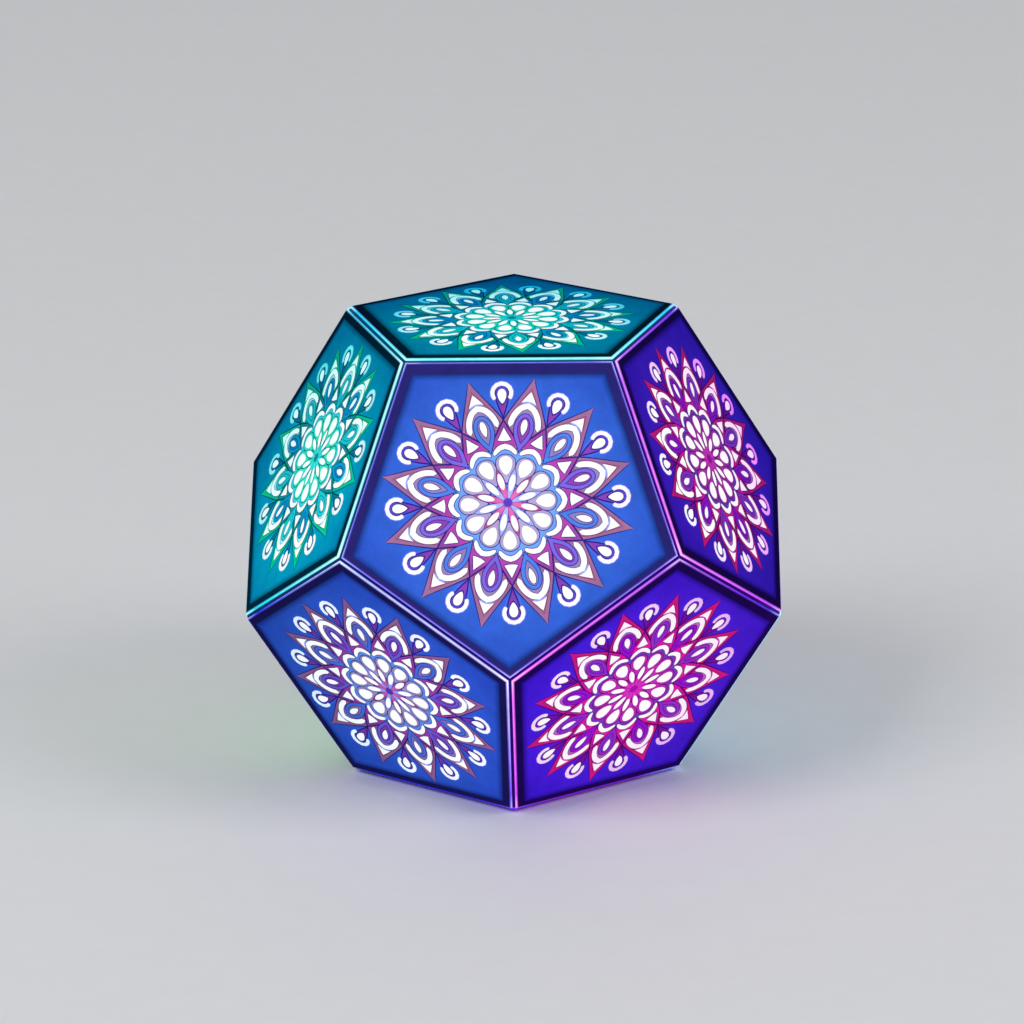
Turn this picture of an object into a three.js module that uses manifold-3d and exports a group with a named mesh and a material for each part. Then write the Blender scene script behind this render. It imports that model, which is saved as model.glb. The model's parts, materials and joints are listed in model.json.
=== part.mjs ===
// Dodecahedron lantern: a black moulded skeleton of thirty bars carries eleven ornamented
// face plates with opal sheets behind them. The twelfth face is the base, with the battery,
// the circuit board, the push button, the charging socket and the light tower inside.
// Millimetres, +Z up. The origin is on the table, under the centre of the lantern.

import * as THREE from 'three';
import Module from 'manifold-3d';
import { mergeVertices } from 'three/addons/utils/BufferGeometryUtils.js';
import { ConvexGeometry } from 'three/addons/geometries/ConvexGeometry.js';

const wasm = await Module();
wasm.setup();

// Driving dimensions of the body
const edge = 60;                // sharp edge of the skeleton's dodecahedron
const seatGap = 0.3;            // gap that a bonded or seated piece keeps
const sideClearance = 0.3;      // gap around a piece that sits in a pocket
const cutOverrun = 1;           // how far a cutter passes the faces that it cuts
const mergeTolerance = 1e-4;    // vertices nearer than this are one

// Skeleton
const frameDepth = 4.5;         // from the outer face to the inner face of a bar
const landWidth = 4;            // bar face between the sharp edge and the pocket
const ledgeWidth = 2.2;         // step that carries the opal sheet
const pegRadial = 1.6;          // locating peg between the halves, towards the axis
const pegWide = 2.2;
const pegHigh = 1.8;
const pegRoot = 1;              // how deep a peg is rooted in its own half
const pegClearance = 0.2;
const pegSinkShare = 0.62;      // where a peg stands in the bar's depth, from the edge
const waistBars = 10;           // bars that cross the split
const halfSpaceShare = 4;       // side of the block that cuts off a half, in edges

// Face plates and opal sheets
const plateThick = 0.8;
const plateInset = 0.25;        // from the skeleton's sharp edge to the plate's edge
const plateChamfer = 0.3;
const opalThick = 1.2;
const rosetteRadius = 37.2;     // centre of a plate to the tip of a petal

// Base
const footStand = 0.8;          // how far a foot stands out of the base plate
const footRadius = 4.5;
const footSides = 9;
const flangeThick = 2.4;        // flange of the tray
const bossRadius = 3.8;
const bossSides = 8;
const bossTall = 5.6;           // above the ledge of the skeleton
const bossInset = 4;            // from the corner of the window to the boss's axis
const screwRadius = 1.25;
const screwHeadRadius = 2.5;
const screwHeadTall = 1.4;
const screwLong = 5.2;          // shank below the head
const screwClearance = 0.2;
const screwSides = 6;
const roundSides = 12;

// Push button and its switch
const buttonRadius = 4.5;
const buttonRecess = 0.3;       // from the base plate's face to the button's face
const buttonFlange = 1.3;       // how far the flange stands out of the button
const buttonFlangeThick = 1;
const buttonTravel = 0.8;
const buttonDish = 0.25;
const buttonDishShare = 0.7;    // inner radius of the button's flat rim
const stemRadius = 1.5;
const stemEntry = 1.2;          // how far the stem reaches into the switch at rest
const switchSide = 6;
const switchTall = 3.6;

// Charging socket, its shell standing on end
const socketWide = 8.94;
const socketThick = 3.26;
const socketWall = 0.35;
const socketDeep = 6.2;
const socketRecess = 0.4;       // from the tray's face to the mouth
const tongueWide = 6.7;
const tongueThick = 0.7;
const tongueShort = 1;          // how far the tongue stays behind the mouth
const plugRoom = 1.7;           // room for a plug's body around the shell, in the base plate
const socketInset = 10.4;       // from the board's straight edge to the middle of the socket

// Electronics
const boardThick = 1.6;
const boardHigh = 6.8;          // from the tray's floor to the board
const chipSide = 7;
const chipTall = 1.2;
const coilSide = 5;
const coilTall = 2.6;
const chipPlaceShare = 0.5;     // along x, in inradii of the board
const coilPlaceShares = [[0.5, 0.36], [-0.36, -0.42]];
const postRadius = 2.4;
const spigotRadius = 1.1;
const spigotTall = 1.2;
const batteryTall = 8;
const batteryLongShare = 1.36;  // shares of the housing's inner inradius
const batteryWideShare = 0.98;
const batteryRim = 1;           // folded edge of the pouch
const housingMargin = 0.6;      // from a boss to the housing's corner
const housingWall = 1.6;
const housingRoof = 2;
const housingHeadroom = 1.6;    // above the battery
const rimTall = 2;              // rim of the tray that centres the housing
const rimWall = 1.4;

// Light tower
const towerRadius = 7;          // inradius of the five-sided post
const towerHead = 27;           // from the tower's top board to the top opal sheet
const collarWall = 1.6;
const collarTall = 4;
const stripWide = 8;
const stripThick = 1;
const stripMargin = 3;          // from the strip's ends to the post's ends
const ledSide = 3.6;
const ledTall = 1.3;
const ledCount = 3;
const topBoardRadius = 7.6;
const topBoardThick = 1.4;
const topLedRadius = 3;
const domeShoulderShares = [0.8, 0.5];  // the top diode's dome: radius and height of its shoulder
const domeTopShare = 0.75;

// Geometry of a regular dodecahedron, as shares of its edge
const fifth = (2 * Math.PI) / 5;
const ringShare = 1 / (2 * Math.sin(Math.PI / 5));
const golden = (1 + Math.sqrt(5)) / 2;
const inradiusShare = Math.sqrt(2.5 + 1.1 * Math.sqrt(5)) / 2;
const waistHeightShare = inradiusShare - Math.sqrt(1 - ((golden - 1) * ringShare) ** 2);
const faceInradiusShare = ringShare * Math.cos(Math.PI / 5);
const faceTilt = Math.atan(2);  // angle between the normals of two faces that meet

// Heights above the table
const faceInradius = faceInradiusShare * edge;
const inradius = inradiusShare * edge;
const baseFace = footStand + plateThick + seatGap;
const centreHeight = baseFace + inradius;
const trayTop = baseFace + flangeThick;
const ledgeFace = trayTop + seatGap;
const boardBottom = trayTop + boardHigh;
const batteryBottom = boardBottom + boardThick + seatGap;
const housingBottom = trayTop + seatGap;
const housingTop = batteryBottom + batteryTall + housingHeadroom + housingRoof;
const towerBottom = housingTop + seatGap;
const towerTop = centreHeight + inradius - opalThick - towerHead;

// Inradii of the nested pentagons
const pocketInradius = faceInradius - landWidth;
const windowInradius = pocketInradius - ledgeWidth;
const plateInradius = faceInradius - plateInset;
const bossAway = windowInradius / Math.cos(Math.PI / 5) - bossInset;
const housingInradius = (bossAway - bossRadius - housingMargin) * Math.cos(Math.PI / 5);
const housingInner = housingInradius - housingWall;
const boardInradius = housingInner - sideClearance;
const socketAway = boardInradius - socketInset;

// The faces. Each is reached by a turn about the lantern's axis and a tilt from upright.
// turn is in fifths of a circle from the front, rosette is the turn of its ornament.
const faces = [
  { name: 'top', turn: 0, tilt: 0, point: 1, rosette: 6, tint: 0x0a8fae },
  { name: 'front', turn: 0, tilt: faceTilt, point: -1, rosette: 17.9, tint: 0x2f5cd0 },
  { name: 'right', turn: 1, tilt: faceTilt, point: -1, rosette: 0.1, tint: 0x3a20a8 },
  { name: 'back_right', turn: 2, tilt: faceTilt, point: -1, rosette: 9, tint: 0x2a62d8 },
  { name: 'back_left', turn: 3, tilt: faceTilt, point: -1, rosette: 14, tint: 0x0a90a0 },
  { name: 'left', turn: 4, tilt: faceTilt, point: -1, rosette: 6, tint: 0x0a8fae },
  { name: 'low_right', turn: 0.5, tilt: Math.PI - faceTilt, point: 1, rosette: 23.2, tint: 0x4a1ab8 },
  { name: 'low_far_right', turn: 1.5, tilt: Math.PI - faceTilt, point: 1, rosette: 12, tint: 0x2a7ad8 },
  { name: 'low_back', turn: 2.5, tilt: Math.PI - faceTilt, point: 1, rosette: 3, tint: 0x2a62d8 },
  { name: 'low_far_left', turn: 3.5, tilt: Math.PI - faceTilt, point: 1, rosette: 17, tint: 0x0aa070 },
  { name: 'low_left', turn: 4.5, tilt: Math.PI - faceTilt, point: 1, rosette: 5.6, tint: 0x2448b8 },
];
const base = { name: 'base', turn: 0, tilt: Math.PI, point: 1 };

// Ornament of one sector, a twelfth of a turn. Points are shares of the rosette's radius: how
// far out along the axis of a petal or of the gap between two, and how far to its side.
const sectors = 12;
const sectorAngle = (2 * Math.PI) / sectors;
const petalHalfShares = [[0.9, 0], [0.785, 0.075], [0.61, 0.142], [0.615, 0.09], [0.725, 0]];
const budShares = [[0.93, 0.04], [0.79, 0], [0.93, -0.04]];
const dropShares = [[0.38, 0.035], [0.3, 0.062], [0.16, 0], [0.3, -0.062], [0.38, -0.035]];

const frameBlack = { color: 0x0b0b12, roughness: 0.35, metalness: 0 };
const trayBlack = { color: 0x101014, roughness: 0.6, metalness: 0 };
const clearPlate = { color: 0x2a2f4a, roughness: 0.08, metalness: 0 };
const opalWhite = { color: 0xf2f4f8, roughness: 0.6, metalness: 0 };
const housingWhite = { color: 0xe8e8e6, roughness: 0.5, metalness: 0 };
const boardGreen = { color: 0x1c5a34, roughness: 0.55, metalness: 0 };
const batterySilver = { color: 0xb8bcc2, roughness: 0.35, metalness: 0.6 };
const steel = { color: 0xc4c6ca, roughness: 0.3, metalness: 1 };
const aluminium = { color: 0xcfd2d6, roughness: 0.4, metalness: 1 };
const ledWhite = { color: 0xf4f1e2, roughness: 0.4, metalness: 0 };
const rubber = { color: 0x17171a, roughness: 0.9, metalness: 0 };
const buttonGrey = { color: 0x8d9096, roughness: 0.45, metalness: 0 };

// A closed geometry becomes a solid once its shared vertices are merged.
function solidOf(geometry) {
  const bare = geometry.index ? geometry.toNonIndexed() : geometry.clone();
  bare.deleteAttribute('normal');
  bare.deleteAttribute('uv');
  const merged = mergeVertices(bare, mergeTolerance);
  return new wasm.Manifold(new wasm.Mesh({
    numProp: 3,
    vertProperties: new Float32Array(merged.attributes.position.array),
    triVerts: new Uint32Array(merged.index.array),
  }));
}

function geometryOf(solid) {
  const mesh = solid.getMesh();
  const geometry = new THREE.BufferGeometry();
  const position = new THREE.BufferAttribute(new Float32Array(mesh.vertProperties), 3);
  geometry.setAttribute('position', position);
  geometry.setIndex(new THREE.BufferAttribute(new Uint32Array(mesh.triVerts), 1));
  geometry.computeVertexNormals();
  return geometry;
}

function meshOf(name, geometry, look) {
  const mesh = new THREE.Mesh(geometry, new THREE.MeshStandardMaterial(look));
  mesh.name = name;
  return mesh;
}

// Regular pentagon of the given inradius with a corner on +Y (point 1) or -Y (point -1).
function pentagon(inner, point) {
  const corner = inner / Math.cos(Math.PI / 5);
  return [0, 1, 2, 3, 4].map((k) => {
    const angle = point * Math.PI / 2 + k * fifth;
    return new THREE.Vector2(corner * Math.cos(angle), corner * Math.sin(angle));
  });
}

function circle(radius, sides, x = 0, y = 0) {
  return Array.from({ length: sides }, (_, k) => {
    const angle = (2 * Math.PI * (k + 0.5)) / sides;
    return new THREE.Vector2(x + radius * Math.cos(angle), y + radius * Math.sin(angle));
  });
}

function rectangle(wide, high, x = 0, y = 0) {
  return [[-1, -1], [1, -1], [1, 1], [-1, 1]].map(
    ([u, v]) => new THREE.Vector2(x + (u * wide) / 2, y + (v * high) / 2),
  );
}

// Prism on one or more outlines, from height low to height high.
function prism(outlines, low, high) {
  const shapes = outlines.map((points) => new THREE.Shape(points));
  const geometry = new THREE.ExtrudeGeometry(shapes, { depth: high - low, bevelEnabled: false });
  return geometry.translate(0, 0, low);
}

// Prism with square-cornered or round holes through it.
function piercedPrism(outline, holes, low, high) {
  const shape = new THREE.Shape(outline);
  holes.forEach((hole) => shape.holes.push(new THREE.Path(hole)));
  const geometry = new THREE.ExtrudeGeometry(shape, { depth: high - low, bevelEnabled: false });
  return geometry.translate(0, 0, low);
}

// Convex body through outlines at given heights.
function loft(levels) {
  const points = levels.flatMap(
    ([outline, height]) => outline.map((p) => new THREE.Vector3(p.x, p.y, height)),
  );
  return new ConvexGeometry(points);
}

function lathe(profile, sides) {
  return new THREE.LatheGeometry(profile.map(([r, z]) => new THREE.Vector2(r, z)), sides)
    .rotateX(Math.PI / 2);
}

// Matrix of a face: its own x and y lie in the face, z points out, the origin is its centre.
function faceMatrix(face, distance) {
  const out = new THREE.Matrix4().makeTranslation(0, 0, distance);
  const tilt = new THREE.Matrix4().makeRotationX(face.tilt);
  const turn = new THREE.Matrix4().makeRotationZ(face.turn * fifth);
  const lift = new THREE.Matrix4().makeTranslation(0, 0, centreHeight);
  return lift.multiply(turn).multiply(tilt).multiply(out);
}

function faceGroup(face) {
  const group = new THREE.Group();
  faceMatrix(face, inradius).decompose(group.position, group.quaternion, group.scale);
  return group;
}

// The twenty corners of the dodecahedron whose faces lie depth inside the outer ones.
function dodecahedron(depth) {
  const size = (edge * (inradius - depth)) / inradius;
  const rings = [
    [ringShare, inradiusShare, 0.5],
    [ringShare * golden, waistHeightShare, 0.5],
    [ringShare * golden, -waistHeightShare, 0],
    [ringShare, -inradiusShare, 0],
  ];
  const points = rings.flatMap(([radius, height, half]) => [0, 1, 2, 3, 4].map((k) => {
    const angle = -Math.PI / 2 + (k + half) * fifth;
    const away = radius * size;
    const up = centreHeight + height * size;
    return new THREE.Vector3(away * Math.cos(angle), away * Math.sin(angle), up);
  }));
  return new ConvexGeometry(points);
}

function pocketDepth(face) {
  return (face === base ? flangeThick : opalThick) + seatGap;
}

// Pocket for the opal sheet or the tray, and the window behind it.
function faceCutter(face) {
  const pocketOutline = pentagon(pocketInradius, face.point);
  const pocket = solidOf(prism([pocketOutline], -pocketDepth(face), cutOverrun));
  const windowOutline = pentagon(windowInradius, face.point);
  const window = solidOf(prism([windowOutline], -frameDepth - cutOverrun, cutOverrun));
  return pocket.add(window).transform(faceMatrix(face, inradius).elements);
}

// Pegs, or the sockets for them, stand on the split, one at the middle of each bar that crosses it.
function splitBlocks(clearance, below) {
  const away = golden * golden * edge / 2 - frameDepth * pegSinkShare / Math.sin(faceTilt);
  const blocks = Array.from({ length: waistBars }, (_, k) => {
    const block = new THREE.BoxGeometry(
      pegRadial + 2 * clearance, pegWide + 2 * clearance, pegHigh + clearance + below,
    );
    block.translate(away, 0, (pegHigh + clearance - below) / 2);
    const turn = (2 * Math.PI * (k + 0.5)) / waistBars + Math.PI / 2;
    return block.rotateZ(turn).translate(0, 0, centreHeight);
  });
  return wasm.Manifold.union(blocks.map(solidOf));
}

function bossPlaces() {
  return [0, 1, 2, 3, 4].map((k) => {
    const angle = -Math.PI / 2 + k * fifth;
    return [bossAway * Math.cos(angle), bossAway * Math.sin(angle)];
  });
}

function skeleton() {
  let solid = solidOf(dodecahedron(0)).subtract(solidOf(dodecahedron(frameDepth)));
  [...faces, base].forEach((face) => {
    solid = solid.subtract(faceCutter(face));
  });
  return solid;
}

// The halves part at the waist plane, halfway up the ten bars that cross it.
function skeletonHalves() {
  const whole = skeleton();
  const span = halfSpaceShare * edge;
  const block = new THREE.BoxGeometry(span, span, span);
  const below = solidOf(block.clone().translate(0, 0, centreHeight - span / 2));
  const above = solidOf(block.clone().translate(0, 0, centreHeight + span / 2 + seatGap));
  const bosses = bossPlaces().map(([x, y]) => solidOf(prism(
    [circle(bossRadius, bossSides, x, y)],
    ledgeFace,
    ledgeFace + bossTall,
  )));
  const pilots = bossPlaces().map(([x, y]) => solidOf(prism(
    [circle(screwRadius + screwClearance, screwSides, x, y)],
    ledgeFace - cutOverrun,
    screwTip() + seatGap,
  )));
  const lower = whole.intersect(below)
    .add(splitBlocks(0, pegRoot))
    .add(wasm.Manifold.union(bosses))
    .subtract(wasm.Manifold.union(pilots));
  const upper = whole.intersect(above).subtract(splitBlocks(pegClearance, cutOverrun));
  return [
    meshOf('lower_frame', geometryOf(lower), frameBlack),
    meshOf('upper_frame', geometryOf(upper), frameBlack),
  ];
}

// Points of the ornament, turned to sector k. half is 0 on a petal and 0.5 between two petals.
function sectorPoints(shares, k, half) {
  const angle = (k + half) * sectorAngle;
  return shares.map(([along, across]) => new THREE.Vector2(
    rosetteRadius * (along * Math.cos(angle) - across * Math.sin(angle)),
    rosetteRadius * (along * Math.sin(angle) + across * Math.cos(angle)),
  ));
}

// Windows of the ornament: arched petals, buds between their tips, and drops near the centre.
function windowOutlines() {
  const mirrored = petalHalfShares.slice(1, -1).reverse().map(([along, across]) => [along, -across]);
  const kinds = [[[...petalHalfShares, ...mirrored], 0], [budShares, 0.5], [dropShares, 0.5]];
  return kinds.flatMap(([shares, half]) => Array.from(
    { length: sectors },
    (_, k) => sectorPoints(shares, k, half),
  ));
}

// Face plate: a clear pentagon with a chamfered rim. The bright fields of the ornament are cut
// through it, so that the opal sheet shows in them.
function facePlate(face) {
  const low = seatGap;
  const high = seatGap + plateThick;
  const body = solidOf(loft([
    [pentagon(plateInradius, face.point), low],
    [pentagon(plateInradius, face.point), high - plateChamfer],
    [pentagon(plateInradius - plateChamfer, face.point), high],
  ]));
  const turn = new THREE.Matrix4().makeRotationZ(THREE.MathUtils.degToRad(face.rosette)).elements;
  const windows = solidOf(prism(windowOutlines(), low - cutOverrun, high + cutOverrun)).transform(turn);
  return meshOf(`mandala_plate_${face.name}`, geometryOf(body.subtract(windows)), {
    color: face.tint, roughness: 0.12, metalness: 0,
  });
}

function opalSheet(face) {
  const outline = pentagon(pocketInradius - sideClearance, face.point);
  return meshOf(`opal_sheet_${face.name}`, prism([outline], -opalThick, 0), opalWhite);
}

function faceGroups() {
  return faces.map((face) => {
    const group = faceGroup(face);
    group.add(facePlate(face), opalSheet(face));
    return group;
  });
}

// Base plate: the twelfth plate, open for the feet, the button and the charging plug.
function basePlate() {
  const holes = bossPlaces().map(([x, y]) => circle(footRadius + sideClearance, footSides, x, y));
  holes.push(circle(buttonRadius + sideClearance, roundSides));
  holes.push(rectangle(socketWide + 2 * plugRoom, socketThick + 2 * plugRoom, 0, socketAway));
  const body = solidOf(loft([
    [pentagon(plateInradius - plateChamfer, -1), footStand],
    [pentagon(plateInradius, -1), footStand + plateChamfer],
    [pentagon(plateInradius, -1), footStand + plateThick],
  ]));
  const cutter = solidOf(prism(holes, footStand - cutOverrun, footStand + plateThick + cutOverrun));
  return meshOf('base_plate', geometryOf(body.subtract(cutter)), clearPlate);
}

function postPlaces() {
  const away = boardInradius - 2 * postRadius;
  return [1, 2, 3, 4].map((k) => {
    const angle = Math.PI / 2 + k * fifth;
    return [away * Math.cos(angle), away * Math.sin(angle)];
  });
}

// Tray: a flange in the base pocket with a rim for the housing and posts for the board.
function baseTray() {
  const outline = pentagon(pocketInradius - sideClearance, -1);
  const holes = [
    circle(buttonRadius + sideClearance, roundSides),
    rectangle(socketWide + 2 * sideClearance, socketThick + 2 * sideClearance, 0, socketAway),
    ...bossPlaces().map(([x, y]) => circle(screwRadius + screwClearance, screwSides, x, y)),
  ];
  const flange = solidOf(piercedPrism(outline, holes, baseFace, trayTop));
  const heads = solidOf(prism(
    bossPlaces().map(([x, y]) => circle(screwHeadRadius + screwClearance, screwSides, x, y)),
    baseFace - cutOverrun,
    baseFace + screwHeadTall + screwClearance,
  ));
  const rimOuter = housingInner - sideClearance;
  const rim = solidOf(piercedPrism(
    pentagon(rimOuter, -1), [pentagon(rimOuter - rimWall, -1)], trayTop - flangeThick / 2, trayTop + rimTall,
  ));
  const posts = solidOf(prism(
    postPlaces().map(([x, y]) => circle(postRadius, screwSides, x, y)),
    trayTop - flangeThick / 2,
    boardBottom - seatGap,
  ));
  const spigots = solidOf(prism(
    postPlaces().map(([x, y]) => circle(spigotRadius, screwSides, x, y)),
    trayTop,
    boardBottom + spigotTall,
  ));
  const body = flange.subtract(heads).add(rim).add(posts).add(spigots);
  return meshOf('base_tray', geometryOf(body), trayBlack);
}

function screwTip() {
  return baseFace + screwHeadTall + screwLong;
}

function baseScrews() {
  return bossPlaces().map(([x, y], k) => {
    const head = baseFace + screwClearance / 2;
    const profile = [
      [0, head], [screwHeadRadius, head], [screwHeadRadius, baseFace + screwHeadTall],
      [screwRadius, baseFace + screwHeadTall], [screwRadius, screwTip() - screwRadius], [0, screwTip()],
    ];
    const screw = meshOf(`base_screw_${k + 1}`, lathe(profile, screwSides), steel);
    screw.position.set(x, y, 0);
    return screw;
  });
}

function feet() {
  return bossPlaces().map(([x, y], k) => {
    const foot = meshOf(`foot_${k + 1}`, loft([
      [circle(footRadius - footStand / 2, footSides), 0],
      [circle(footRadius, footSides), footStand],
      [circle(footRadius, footSides), baseFace - seatGap],
    ]), rubber);
    foot.position.set(x, y, 0);
    return foot;
  });
}

// Push button: a dished cap, a flange that keeps it in, and a stem into the switch.
function powerButton() {
  const face = footStand + buttonRecess;
  const flangeLow = trayTop + seatGap;
  const flangeHigh = flangeLow + buttonFlangeThick;
  const profile = [
    [0, face + buttonDish], [buttonRadius * buttonDishShare, face], [buttonRadius - buttonDish, face],
    [buttonRadius, face + buttonDish], [buttonRadius, flangeLow],
    [buttonRadius + buttonFlange, flangeLow], [buttonRadius + buttonFlange, flangeHigh],
    [stemRadius, flangeHigh], [stemRadius, switchMouth() + stemEntry], [0, switchMouth() + stemEntry],
  ];
  return meshOf('power_button', lathe(profile, roundSides), buttonGrey);
}

function switchMouth() {
  return boardBottom - seatGap - switchTall;
}

function powerSwitch() {
  const wellTop = switchMouth() + stemEntry + buttonTravel + seatGap;
  const outline = rectangle(switchSide, switchSide);
  const body = solidOf(prism([outline], switchMouth(), boardBottom - seatGap));
  const bore = circle(stemRadius + sideClearance, screwSides);
  const well = solidOf(prism([bore], switchMouth() - cutOverrun, wellTop));
  return meshOf('power_switch', geometryOf(body.subtract(well)), trayBlack);
}

// Charging socket: a metal shell on end under the board, with its tongue inside.
function chargingSocket() {
  const mouth = baseFace + socketRecess;
  const top = boardBottom - seatGap;
  const shell = solidOf(prism([rectangle(socketWide, socketThick, 0, socketAway)], mouth, top));
  const cavity = solidOf(prism(
    [rectangle(socketWide - 2 * socketWall, socketThick - 2 * socketWall, 0, socketAway)],
    mouth - cutOverrun,
    mouth + socketDeep,
  ));
  const tongue = solidOf(prism(
    [rectangle(tongueWide, tongueThick, 0, socketAway)],
    mouth + tongueShort,
    mouth + socketDeep + socketWall,
  ));
  return meshOf('charging_socket', geometryOf(shell.subtract(cavity).add(tongue)), steel);
}

// Circuit board with its chips and coils on the lower side.
function circuitBoard() {
  const holes = postPlaces().map(([x, y]) => circle(spigotRadius + sideClearance, screwSides, x, y));
  const board = solidOf(piercedPrism(
    pentagon(boardInradius, -1), holes, boardBottom, boardBottom + boardThick,
  ));
  const chipAway = boardInradius * chipPlaceShare;
  const chips = solidOf(prism(
    [rectangle(chipSide, chipSide, chipAway, 0), rectangle(chipSide, chipSide, -chipAway, 0)],
    boardBottom - chipTall,
    boardBottom + boardThick / 2,
  ));
  const coils = solidOf(prism(
    coilPlaceShares.map(([x, y]) => rectangle(coilSide, coilSide, x * boardInradius, y * boardInradius)),
    boardBottom - coilTall,
    boardBottom + boardThick / 2,
  ));
  return meshOf('circuit_board', geometryOf(board.add(chips).add(coils)), boardGreen);
}

function batteryPack() {
  const long = housingInner * batteryLongShare;
  const wide = housingInner * batteryWideShare;
  const slim = (inset) => rectangle(long - 2 * inset, wide - 2 * inset);
  return meshOf('battery_pack', loft([
    [slim(batteryRim), batteryBottom],
    [slim(0), batteryBottom + batteryRim],
    [slim(0), batteryBottom + batteryTall - batteryRim],
    [slim(batteryRim), batteryBottom + batteryTall],
  ]), batterySilver);
}

// Housing over the electronics: a five-sided cup, open below, with a collar for the tower.
function electronicsHousing() {
  const roof = housingTop - housingRoof;
  const collarTop = housingTop + collarTall;
  const cup = solidOf(prism([pentagon(housingInradius, -1)], housingBottom, housingTop));
  const hollow = solidOf(prism([pentagon(housingInner, -1)], housingBottom - cutOverrun, roof));
  const collarOutline = pentagon(towerRadius + collarWall, 1);
  const collar = solidOf(prism([collarOutline], roof + housingRoof / 2, collarTop));
  const seatOutline = pentagon(towerRadius + sideClearance, 1);
  const seat = solidOf(prism([seatOutline], housingTop, collarTop + cutOverrun));
  const body = cup.subtract(hollow).add(collar).subtract(seat);
  return meshOf('electronics_housing', geometryOf(body), housingWhite);
}

function lightTower() {
  return meshOf('light_tower', prism([pentagon(towerRadius, 1)], towerBottom, towerTop), aluminium);
}

// A strip on each side of the tower: a slim board with a row of light-emitting diodes.
function ledStrips() {
  const low = housingTop + collarTall + stripMargin;
  const high = towerTop - stripMargin;
  const pitch = (high - low) / ledCount;
  const front = towerRadius + seatGap + stripThick;
  const rooted = stripThick / 2;
  const boardOutline = rectangle(stripThick, stripWide, front - stripThick / 2, 0);
  const lightOutline = rectangle(rooted + ledTall, ledSide, front + (ledTall - rooted) / 2, 0);
  return [0, 1, 2, 3, 4].map((k) => {
    const board = solidOf(prism([boardOutline], low, high));
    const lights = Array.from({ length: ledCount }, (_, n) => {
      const middle = low + (n + 0.5) * pitch;
      return solidOf(prism([lightOutline], middle - ledSide / 2, middle + ledSide / 2));
    });
    const body = board.add(wasm.Manifold.union(lights));
    const strip = meshOf(`led_strip_${k + 1}`, geometryOf(body), ledWhite);
    strip.rotation.z = -Math.PI / 2 + k * fifth;
    return strip;
  });
}

function topLight() {
  const low = towerTop + seatGap;
  const high = low + topBoardThick;
  const [out, up] = domeShoulderShares;
  const profile = [
    [0, low], [topBoardRadius, low], [topBoardRadius, high], [topLedRadius, high],
    [topLedRadius * out, high + topLedRadius * up], [0, high + topLedRadius * domeTopShare],
  ];
  return meshOf('led_top', lathe(profile, screwSides), ledWhite);
}

const lantern = new THREE.Group();
lantern.add(...skeletonHalves(), ...faceGroups(), basePlate(), baseTray(), ...baseScrews(), ...feet());
lantern.add(powerButton(), powerSwitch(), chargingSocket(), circuitBoard(), batteryPack());
lantern.add(electronicsHousing(), lightTower(), ...ledStrips(), topLight());

export default lantern;
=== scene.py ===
"""Dodecahedron lantern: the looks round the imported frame. Metres, +Z up, the front face looks along -Y."""

import json

import bpy
import numpy as np
from mathutils import Matrix, Vector


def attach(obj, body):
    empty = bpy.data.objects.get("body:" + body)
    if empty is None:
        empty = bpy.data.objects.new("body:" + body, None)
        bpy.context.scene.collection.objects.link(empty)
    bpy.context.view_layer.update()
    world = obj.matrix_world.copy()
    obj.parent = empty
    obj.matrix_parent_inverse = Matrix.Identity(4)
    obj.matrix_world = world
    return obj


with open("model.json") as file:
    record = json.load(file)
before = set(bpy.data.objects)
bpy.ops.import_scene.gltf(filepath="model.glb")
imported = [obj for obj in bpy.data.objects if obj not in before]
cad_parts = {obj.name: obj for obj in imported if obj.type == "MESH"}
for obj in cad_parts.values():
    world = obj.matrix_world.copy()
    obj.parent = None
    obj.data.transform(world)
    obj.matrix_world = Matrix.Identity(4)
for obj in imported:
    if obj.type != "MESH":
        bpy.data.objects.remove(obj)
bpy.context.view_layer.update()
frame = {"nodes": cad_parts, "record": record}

# Body, as in the frame
EDGE = 0.060
SEAT_GAP = 0.0003  # under a plate
PLATE_THICK = 0.0008
PLATE_INSET = 0.00025  # from the face's edge to the plate's
PLATE_CHAMFER = 0.0003
FOOT_STAND = 0.0008
FIFTH = 2 * np.pi / 5
FACE_TILT = np.arctan(2)
INRADIUS = EDGE * np.sqrt(2.5 + 1.1 * np.sqrt(5)) / 2
FACE_INRADIUS = EDGE / (2 * np.tan(np.pi / 5))
CENTRE_HEIGHT = FOOT_STAND + PLATE_THICK + SEAT_GAP + INRADIUS
PLATE_INRADIUS = FACE_INRADIUS - PLATE_INSET
PLATE_TOP = SEAT_GAP + PLATE_THICK
PLATE_NODE = "mandala_plate_"  # what the names of the plates' nodes start with

# Print
PRINT_MARGIN = 0.00020  # from the plate's chamfer to the film
BORDER_WIDTH = 0.0029  # from the skeleton's sharp edge to the coloured field
BORDER_BLUR = 0.0020  # over this much the field darkens towards its border
FILM_GAP = 0.000004  # between a plate and its film
FILM_THICK = 0.000012
INK_STEP = 0.000010  # each ink stands this much above the one below
FIELD_HOLE = 0.004  # inradius of the field's innermost ring, in edges
FIELD_RINGS = 13  # from there to the blur
BLUR_RINGS = 5
SIDE_POINTS = 12  # along each side of a ring

# Rosette, its lengths in edges
SECTORS = 12
SECTOR = 2 * np.pi / SECTORS
BLUNT = 0.0004  # half width of a sharp tip
LINE = 0.0040  # half of what a dark outline adds to a shape
POINTS = 13  # along a side of most shapes
FINE_POINTS = 17  # along a side of the large drops
ARC_POINTS = 15
ON_PETAL, BETWEEN = 0, 0.5  # where a shape's axis lies, in sectors from a petal's axis
PURPLE, BLUE = 0, 1  # the two kinds of petal, in turn round the rosette
EVEN, ODD = 0, 1

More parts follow.
